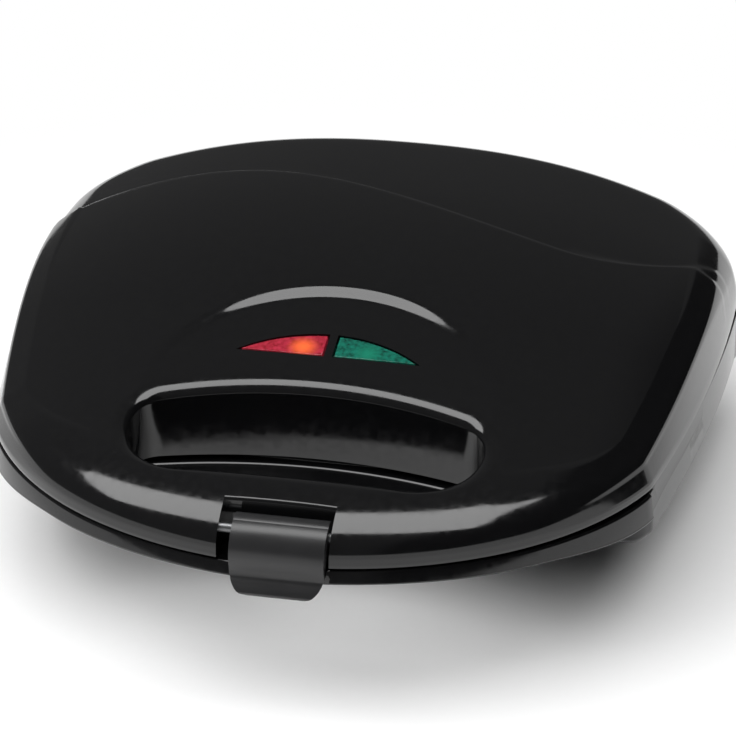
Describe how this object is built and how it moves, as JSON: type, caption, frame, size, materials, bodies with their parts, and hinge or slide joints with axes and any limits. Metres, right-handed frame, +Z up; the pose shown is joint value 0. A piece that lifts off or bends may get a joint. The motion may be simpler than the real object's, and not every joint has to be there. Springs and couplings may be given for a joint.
{
  "type": "sandwich toaster",
  "caption": "Clamshell sandwich toaster with a domed lid, see-through handle opening, two triangular indicator lenses and a front clip that locks lid to base.",
  "frame": {"origin": "centre of the overall box in plan, at the level the feet stand on", "axes": "+X to the toaster's right as seen from its front, +Y from the handle at the front to the hinge at the rear, +Z up"},
  "size_m": [0.2334, 0.2496, 0.0849],
  "materials": {
    "gloss_black_abs": "glossy moulded black",
    "satin_black": "satin moulded black",
    "steel": "drawn steel",
    "red_lens": "clear red, glossy",
    "green_lens": "clear green, glossy",
    "non_stick": "cast aluminium with a dark non-stick coating",
    "heater_steel": "heat-darkened steel tube",
    "bright_sheet": "bright pressed sheet",
    "lamp_amber": "neon lamp",
    "lamp_green": "neon lamp",
    "grey_plastic": "heat-resistant moulding",
    "white_ceramic": "matt white",
    "black_rubber": "matt black",
    "wire_sleeve": "white silicone sleeve"
  },
  "bodies": {
    "base": {"base_shell": "gloss_black_abs", "base_frame": "gloss_black_abs", "lower_plate": "non_stick", "lower_heater": "heater_steel", "lower_reflector": "bright_sheet", "lower_plate_screws": "steel", "terminal_block": "white_ceramic", "cord_gland": "black_rubber", "left_hinge_pin": "steel", "right_hinge_pin": "steel", "foot_front_left": "black_rubber", "foot_front_right": "black_rubber", "foot_rear_left": "black_rubber", "foot_rear_right": "black_rubber", "base_wiring": "wire_sleeve"},
    "lid": {"lid_shell": "gloss_black_abs", "lid_frame": "gloss_black_abs", "red_lens": "red_lens", "green_lens": "green_lens", "lamp_carrier": "grey_plastic", "mains_lamp": "lamp_amber", "ready_lamp": "lamp_green", "upper_plate": "non_stick", "upper_heater": "heater_steel", "upper_reflector": "bright_sheet", "upper_plate_screws": "steel", "thermostat": "white_ceramic", "thermal_fuse": "steel", "latch_pin": "steel", "lid_wiring": "wire_sleeve"},
    "latch": {"latch_clip": "satin_black"}
  },
  "joints": [
    {"name": "lid_hinge", "type": "hinge", "parent": "base", "child": "lid", "pos_m": [0, 0.11928, 0.0434], "axis": [-1, 0, 0], "range_deg": [0, 105]},
    {"name": "latch_pivot", "type": "hinge", "parent": "lid", "child": "latch", "pos_m": [0, -0.11248, 0.051], "axis": [-1, 0, 0], "range_deg": [0, 80]}
  ]
}
